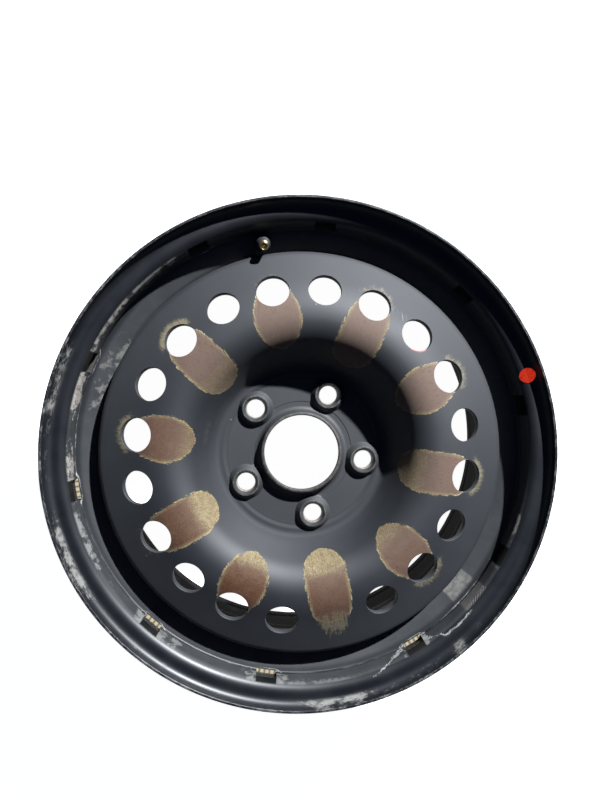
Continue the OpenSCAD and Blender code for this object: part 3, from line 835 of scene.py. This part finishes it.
def rim_paint():
    f = Finish("rim paint")
    f.shader.inputs["Specular IOR Level"].default_value = 0.55
    cloud = f.noise(40, 5)
    blots = f.noise(85, 5, 0.6)
    flakes = f.noise(170, 6, 0.7)
    grain = f.noise(700, 4, 0.65)
    streaks = f.noise(1, 4, 0.6, at=f.polar(60, 0.9, 0.9))
    ragged = (blots - 0.5) * 2.4 + (flakes - 0.5) * 1.6 + (grain - 0.5) * 0.5

    def torn(window):
        """The same window with a ragged outline."""
        return (window * 0.8 + ragged * 0.9).rise(0.45, 0.95) * window.rise(0, 0.3)

    inside = f.radius.rise(202.2, 201.4)
    seat = f.z.between(16, 31.5, 1.2) * inside
    wall = f.z.between(2, 12.4, 0.8) * f.radius.between(180, 199.5, 0.6)
    flange = f.z.rise(35.2, 36.6) * f.radius.rise(210, 213)
    lit = f.sector(216, 100, 12)
    from_pocket = abs(abs(f.turn_from(VALVE_ANGLE, BOLT_PERIOD)) - POCKET_SPREAD)
    pocket = from_pocket.rise(2.75, 2.45)

    colour = f.mix(cloud.rise(0.3, 0.7), RIM_DARK, RIM_PALE)
    dust = seat.either(wall * 0.8) * (0.1 + 0.5 * cloud + 0.4 * flakes)
    colour = f.mix(dust * 0.8, colour, SEAT_DUST)

    # Chalky scuffs on the bead seat, with one hatched place
    scuff = torn(from_pocket.between(2.6, 3.6, 0.8) * f.z.rise(17, 24)) * lit * 0.7
    for middle, half, soft, low, high, weight in SEAT_SCUFFS:
        window = f.sector(middle, half, soft) * f.z.rise(low, high)
        scuff = scuff.either(torn(window) * weight)
    slanted = f.node("ShaderNodeCombineXYZ", {}, [f.angle * 0.9 + f.z * 0.32, 0.0, 0.0])
    hatch = f.node("ShaderNodeTexWave", {"wave_type": "BANDS", "bands_direction": "X"}, {
        "Vector": slanted, "Scale": 0.5, "Distortion": 1.6, "Detail": 3})
    hatched = f.sector(309.5, 3.8, 0.4) * hatch.rise(0.62, 0.9) * 0.7
    scuff = scuff.either(hatched) * seat * (1 - pocket)
    # Painted light and shade: the chalk is paler on the side facing the light and darker elsewhere
    chalk = f.mix(f.sector(236, 60, 12), CHALK_LIT, CHALK_SHADED)
    chalk = f.mix(grain.rise(0.7, 0.3) * 0.5, chalk, CHALK_GRIME)
    colour = f.mix(scuff * 0.9, colour, chalk)

    # Chips on the flange
    chips = f.sector(*FLANGE_CHIPS[0])
    for chip in FLANGE_CHIPS[1:]:
        chips = chips + f.sector(*chip)
    chips = (chips + f.sector(236, 70, 10) * 0.2) * f.radius.rise(219, 216.5)
    broken = (chips * 0.7 + (streaks - 0.5) * 2 + (blots - 0.5) * 2.4).rise(0.35, 1.1)
    chips = broken * chips.rise(0, 0.3) * flange
    colour = f.mix(chips * 0.9, colour, FLANGE_CHIP)

    # The worn line on the corner between seat and wall
    line = 199.9 - 2.4 * from_pocket.rise(4.4, 2.0) + (flakes - 0.5) * 2
    width = (blots - 0.4) * 1.6 + f.sector(307, 6, 3) * 0.5 + f.sector(166, 12, 6) * 0.25
    edge = (width - abs(f.radius - line)).rise(-0.35, 0.3) * f.z.between(11.2, 14.9, 0.3)
    edge = edge * (1 - 0.5 * pocket)
    edge = edge * f.sector(207, 106, 4) * (0.2 + 0.8 * flakes.rise(0.44, 0.6))
    colour = f.mix(edge, colour, WORN_CORNER)

    # A splash and a grey rectangle on the well wall
    splash = torn(wall * f.sector(148, 11, 6) * f.z.rise(16, 6)) * wall * 0.85
    label = wall * f.sector(308.9, 4.1, 0.25) * (0.45 + 0.55 * flakes.rise(0.4, 0.6))
    colour = f.mix(splash.either(label), colour, WALL_SPLASH)

    # Two dried drips, and a rill along the flange's root
    wander = (f.noise(90, 3) - 0.5) * 3 + (f.noise(300, 4, 0.65) - 0.5) * 4
    drip_in = abs(f.angle - (f.along(f.z, DRIP_IN) + wander))
    drip_out = abs(f.angle - (f.along(f.z, DRIP_OUT) + wander))
    crust = 0.05 + (flakes - 0.45) * 4 + f.z.rise(31, 22) * 0.6
    drips = (crust - drip_in).either(crust - drip_out).rise(-0.15, 0.15)
    drips = drips * f.z.between(14, 34, 0.5) * f.sector(288, 14, 1) * (1 - pocket)
    rill = abs(f.z - 33.4 + wander * 0.5).rise(0.55, 0.2) * f.sector(302, 4.6, 0.6)
    drips = drips.either(rill) * f.radius.rise(206, 204)
    colour = f.mix(drips * grain.rise(0.3, 0.6), colour, DRIED_DRIP)

    # Lumps of dirt on the shelf of each pocket, with painted shade on the pockets away from the
    # light
    shelf = pocket * f.z.between(13.0, 14.3, 0.25) * f.radius.between(198.8, 201.9, 0.3)
    waves = math.pi * math.radians(1) * CORNER_R / 4.6
    lumps = (f.turn_from(VALVE_ANGLE, BOLT_PERIOD) * waves).math("SINE")
    dirt = f.mix((abs(lumps) * 0.8 + grain * 0.5).rise(0.35, 1.0), DIRT_DARK, DIRT_TAN)
    # Painted shade: the dirt in the pockets outside the side facing the light is a dark copy
    dirt = f.mix(f.sector(234, 62, 3), DIRT_SHADED, dirt)
    colour = f.mix(shelf, colour, dirt)

    lip = f.z.rise(43.6, 44.4) * (streaks * 0.6 + blots * 0.6).rise(0.54, 0.78)
    # Painted light: the worn lip is paler on the lit side
    lip = lip * (0.7 + 0.3 * lit)
    colour = f.mix(lip * 0.8, colour, LIP_WEAR_AND_LIGHT)

    # Painted shade: a dark, dull coat inside the barrel below the disc and on the deep part of the
    # pockets, where shade falls
    below = (f.radius - f.along(f.z, BARREL_LINE)).rise(-1.1, -1.5) * f.z.rise(-22, -30)
    pocket_shade = pocket * f.z.between(15, 32, 1.0) * inside
    f.dull_coat(below.either(pocket_shade), f.mix(cloud.rise(0.35, 0.65), BARREL_SHADE_DARK, BARREL_SHADE_PALE),
                0.75 + 0.15 * cloud, 0.08)

    pale = scuff.either(chips).either(edge).either(splash).either(shelf)
    rough = 0.46 - 0.07 * f.z.rise(30, 33) + dust * 0.2 + pale * 0.25 + 0.06 * cloud
    height = cloud * 0.5 + grain * 0.12 + pale * grain * 0.4
    return f.paint(colour, rough, f.bump(height, 0.0002, 0.4))


def disc_paint():
    f = Finish("disc paint")
    f.shader.inputs["Specular IOR Level"].default_value = 0.85
    cloud = f.noise(35, 5)
    grain = f.noise(900, 4, 0.65)
    flakes = f.noise(260, 5, 0.65)
    blots = f.noise(110, 5, 0.6)
    hairs = f.noise(1, 4, 0.6, at=f.polar(130, 0.12, 0.12))
    brushed = f.noise(1, 3, 0.6, at=f.polar(190, 0.18, 0.18))
    colour = f.mix(cloud.rise(0.3, 0.7), DISC_DARK, DISC_PALE)

    # Worn patches: brown in the middle, straw at the hub end and a gold edge
    off = f.arc_from(PATCH_START, PATCH_PERIOD)
    second = (f.angle % (2 * PATCH_PERIOD)).rise(PATCH_PERIOD - 0.1, PATCH_PERIOD + 0.1)
    half = f.along(f.radius, PATCH_POINTED) * (1 - second)
    half = half + f.along(f.radius, PATCH_BLUNT) * second
    inside = half - 6 * half.rise(2, 0.5) - abs(off)
    inside = inside + (flakes - 0.5) * 4 + (grain - 0.5) * 2.5 + (hairs - 0.5) * 4
    patch = inside.rise(-0.4, 0.8)
    centre = f.mix(f.radius.rise(108, 126), RUST_HUB, RUST_VENT)
    centre = f.mix(grain.rise(0.4, 0.7), centre, RUST_GRAIN)
    centre = f.mix(blots.rise(0.42, 0.66) * 0.3, centre, RUST_BLOT)
    # Painted sheen: the patches are paler towards the side facing the light
    centre = f.mix(f.along(f.angle, PATCH_SHEEN), centre, RUST_SHEEN)
    centre = f.mix(brushed.rise(0.52, 0.7) * 0.45, centre, RUST_BRUSHED)
    fringe = inside.rise(4.2, 0.6) * (hairs * 0.6 + flakes * 0.6).rise(0.45, 0.7)
    foot = (f.radius + (blots - 0.5) * 14).rise(109, 98)
    foot = foot * (0.4 + 0.6 * (flakes * 0.5 + hairs * 0.5).rise(0.35, 0.6))
    straw = f.mix(grain.rise(0.3, 0.7), STRAW_DARK, STRAW_PALE)
    worn = f.mix(fringe.either(foot * f.along(f.angle, PATCH_STRAW)), centre, straw)
    gold = f.mix(f.radius.rise(124, 136), GOLD_HUB, GOLD_VENT)
    border = inside.between(-0.1, 0.9, 0.5) * (hairs * 0.7 + grain * 0.4).rise(0.5, 0.66)
    worn = f.mix(border, worn, gold)
    colour = f.mix(patch, colour, worn)

    # The frayed end of the patch where no vent is, and dust on the far side of the vents
    blank = (17.5 - abs(off) - (f.radius - 141) * 0.3).rise(-1, 6) * f.sector(270, 9, 1)
    blank = blank * (f.radius + (blots - 0.5) * 14).rise(130, 146) * f.radius.rise(168, 150)
    frayed = (blank + (flakes - 0.5) * 1.4 + (hairs - 0.5) * 2.2).rise(0.3, 1.1)
    blank = frayed * blank.rise(0, 0.25) * (0.35 + 0.5 * grain.rise(0.35, 0.6))
    outward = (f.radius - VENT_CIRCLE_R) * 1.08
    ring = (off * off + outward * outward).math("SQRT") - VENT_R
    dusting = ring.rise(0.2, 1.2) * ring.rise(10, 1) * outward.rise(2, 10)
    dusting = dusting * f.along(f.angle, PATCH_DUSTING)
    frayed = (dusting * 1.15 + (flakes - 0.5) * 1.2 + (hairs - 0.5) * 1.6).rise(0.25, 1.15)
    dusting = frayed * dusting.rise(0, 0.3) * (0.5 + 0.5 * grain.rise(0.35, 0.6))
    colour = f.mix(blank.either(dusting), colour, VENT_DUST)

    # Swept scratches, a red line on one vent's edge, specks and a black smear
    swept = f.noise(1, 3, 0.5, at=f.node("ShaderNodeCombineXYZ", {}, [
        off * 0.9 - f.radius * 0.6, off * 0.05, 0.0]))
    swept = swept.rise(0.6, 0.68) * f.sector(45.5, 3.4, 1.4) * f.radius.between(133, 149, 3)
    colour = f.mix(swept * 0.7, colour, SCRATCH)
    sideways = f.arc_from(RED_VENT)
    red = (sideways * sideways + outward * outward).math("SQRT") - VENT_R
    red = red.between(-0.6, 0.7, 0.2)
    red = red * (outward * RED_OUTWARD + sideways * RED_SIDEWAYS).rise(12.0, 13.4)
    colour = f.mix(red * flakes.rise(0.3, 0.5), colour, RED_LINE)
    cells = {"Vector": f.place, "Scale": 55}
    from_speck = f.node("ShaderNodeTexVoronoi", {}, cells)
    kept = f.parts(f.node("ShaderNodeTexVoronoi", {}, cells, output=1))[0]
    specks = from_speck.rise(0.03, 0.018) * kept.rise(0.72, 0.74)
    colour = f.mix(specks * 0.8, colour, SCRATCH)
    smear = f.sector(156.5, 6, 2.5) * f.radius.between(85, 87.2, 1.0) * flakes.rise(0.44, 0.6)
    colour = f.mix(smear, colour, BLACK_SMEAR)

    # Dust on the pad, and bare metal at the collar's edge and round the bolt holes
    turn = f.turn_from(BOLT_START, BOLT_PERIOD) * math.radians(1)
    across = f.radius * turn.math("SINE")
    beyond = f.radius * turn.math("COSINE") - BOLT_CIRCLE_R
    from_bolt = (across * across + beyond * beyond).math("SQRT")
    pad = f.radius.rise(67.5, 66) * f.z.rise(2, 3.5)
    colour = f.mix(pad * (0.5 + 0.5 * cloud) * 0.8, colour, PAD_DUST)
    collar_edge = f.z.rise(11.9, 12.4) * f.radius.rise(38.5, 37) * flakes.rise(0.42, 0.6)
    colour = f.mix(collar_edge * 0.7, colour, WORN_COLLAR)
    bare = from_bolt.rise(9.1, 8.6) * f.z.between(1.2, 7.0, 0.6)
    bare = bare * (0.45 + 0.55 * flakes.rise(0.4, 0.6))
    colour = f.mix(bare, colour, BARE_STEEL)
    # A pale, broken ring on the crest of each boss
    crest = f.z.between(9.0, 9.6, 0.15) * from_bolt.between(10.9, 11.7, 0.2)
    colour = f.mix(crest * flakes.rise(0.46, 0.6) * 0.8, colour, PALE_CREST)

    satin = f.along(f.radius, DISC_SATIN)
    rough = satin - 0.03 + 0.06 * cloud + 0.10 * patch - 0.2 * bare + 0.35 * smear
    height = cloud * 0.5 + grain * 0.1 + patch * grain * 0.35
    normal = f.bump(height, 0.0002, 0.4)
    f.dull_coat(patch, colour, rough, 0.3, normal)
    return f.paint(colour, rough, normal)


def plain_finish(name, colour, roughness, metallic=0.0):
    """One speckled colour."""
    f = Finish(name)
    speckle = f.noise(600, 3)
    darker = tuple(0.7 * c for c in colour[:3]) + (1,)
    f.shader.inputs["Metallic"].default_value = metallic
    speckled = f.mix(speckle.rise(0.35, 0.65), darker, colour)
    return f.paint(speckled, roughness - 0.05 + 0.1 * speckle, f.bump(speckle, 0.00005, 0.4))


def mark_finish():
    """A bright red mark with a painted glow, so that it stays bright in shade."""
    f = Finish("red mark finish")
    f.shader.inputs["Specular IOR Level"].default_value = 0.05
    f.shader.inputs["Emission Strength"].default_value = 1.0
    strokes = f.noise(1, 3, at=f.node("ShaderNodeCombineXYZ", {}, [f.x * 0.5, f.y * 1.6, 0.0]))
    f.feed(f.shader.inputs["Emission Color"],
           f.mix(strokes.rise(0.38, 0.55), MARK_GLOW_DARK, MARK_GLOW_PALE))
    return f.paint(MARK_BASE, 0.6 + 0.1 * strokes)


def weld_finish():
    """Painted weld beads with the ripples of the weld pool."""
    f = Finish("weld paint finish")
    grain = f.noise(500, 4)
    ripples = ((f.angle + grain * 0.25) * 12.0).math("SINE") * 0.5 + 0.5
    colour = f.mix(ripples * 0.6 + grain * 0.4, WELD_DARK, WELD_PALE)
    rust = f.noise(120, 5, 0.65).rise(0.56, 0.68)
    colour = f.mix(rust * 0.7, colour, WELD_RUST)
    return f.paint(colour, 0.5 + 0.3 * rust, f.bump(ripples * 0.7 + grain * 0.3, 0.0005, 0.7))


# Putting the wheel together

def finished(piece, material, node):
    """Gives a piece its finish, and its place in the frame."""
    piece.data.materials.clear()
    piece.data.materials.append(material)
    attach(piece, "wheel")
    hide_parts(node)


finished(make_rim(), rim_paint(), "rim_barrel")
finished(make_disc(), disc_paint(), "wheel_disc")
valve_rubber = plain_finish("valve rubber finish", VALVE_RUBBER, 0.6)
finished(make_valve_rubber(), valve_rubber, "valve_body")
brass = plain_finish("brass finish", BRASS, 0.35, metallic=1.0)
finished(make_valve_stem(), brass, "valve_stem")
wire = plain_finish("wire finish", WIRE, 0.3, metallic=1.0)
spring = make_valve_spring()
finished(spring, wire, "valve_core_spring")
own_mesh(spring)
for node, material in {
    "weld_beads": weld_finish(),
    "match_dot": mark_finish(),
    "valve_core_body": brass,
    "valve_core_pin": brass,
    "valve_core_seal": plain_finish("seal finish", SEAL_RUBBER, 0.6),
    "valve_core_gasket": plain_finish("gasket finish", GASKET, 0.5),
}.items():
    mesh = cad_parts[node].data
    mesh.materials.clear()
    mesh.materials.append(material)


# Floor, light and camera

def make_floor():
    bpy.ops.object.select_all(action="DESELECT")
    bpy.ops.mesh.primitive_circle_add(vertices=96, radius=FLOOR_R, fill_type="NGON",
                                      location=(0, 0, cad_box[0].z))
    floor = bpy.context.object
    floor.name = "floor"
    f = Finish("pale floor")
    cloud = f.noise(3, 3)
    f.shader.inputs["Emission Strength"].default_value = FLOOR_GLOW
    f.feed(f.shader.inputs["Emission Color"], grey(1.0))
    floor.data.materials.append(f.paint(f.mix(cloud, grey(0.78), grey(0.82)), 0.9))


def lamp(name, azimuth, elevation, distance, size, power, colour):
    light = bpy.data.lights.new(name, "AREA")
    light.shape = "DISK"
    light.size, light.energy, light.color = size, power, colour
    holder = bpy.data.objects.new(name, light)
    bpy.context.scene.collection.objects.link(holder)
    a, e = math.radians(azimuth), math.radians(elevation)
    way = Vector((math.cos(e) * math.cos(a), math.cos(e) * math.sin(a), math.sin(e)))
    holder.location = way * distance
    holder.rotation_euler = way.to_track_quat("Z", "Y").to_euler()


def make_world():
    world = bpy.data.worlds.new("studio")
    bpy.context.scene.world = world
    world.use_nodes = True
    tree = world.node_tree
    background = tree.nodes["Background"]
    coordinate = tree.nodes.new("ShaderNodeTexCoord")
    parts = tree.nodes.new("ShaderNodeSeparateXYZ")
    ramp = tree.nodes.new("ShaderNodeValToRGB")
    Finish.set_stops(ramp.color_ramp, SKY)
    tree.links.new(coordinate.outputs["Generated"], parts.inputs[0])
    tree.links.new(parts.outputs[2], ramp.inputs[0])
    tree.links.new(ramp.outputs[0], background.inputs[0])


make_floor()
make_world()
lamp("key", azimuth=46.4, elevation=34, distance=3, size=0.1, power=320,
     colour=(0.95, 0.99, 1.04))

camera = bpy.data.cameras.new("camera")
camera.sensor_fit = "HORIZONTAL"
camera.sensor_width = 36
camera.lens = CAMERA_LENS
holder = bpy.data.objects.new("camera", camera)
bpy.context.scene.collection.objects.link(holder)
holder.matrix_world = (
    Matrix.Translation(CAMERA_AT)
    @ Matrix.Rotation(math.radians(CAMERA_ROLL), 4, "Z")
    @ Matrix.Rotation(math.radians(CAMERA_TILT), 4, "X")
    @ Matrix.Rotation(math.radians(CAMERA_SIDE), 4, "Y")
)
bpy.context.scene.camera = holder
bpy.context.scene.view_settings.view_transform = "Standard"
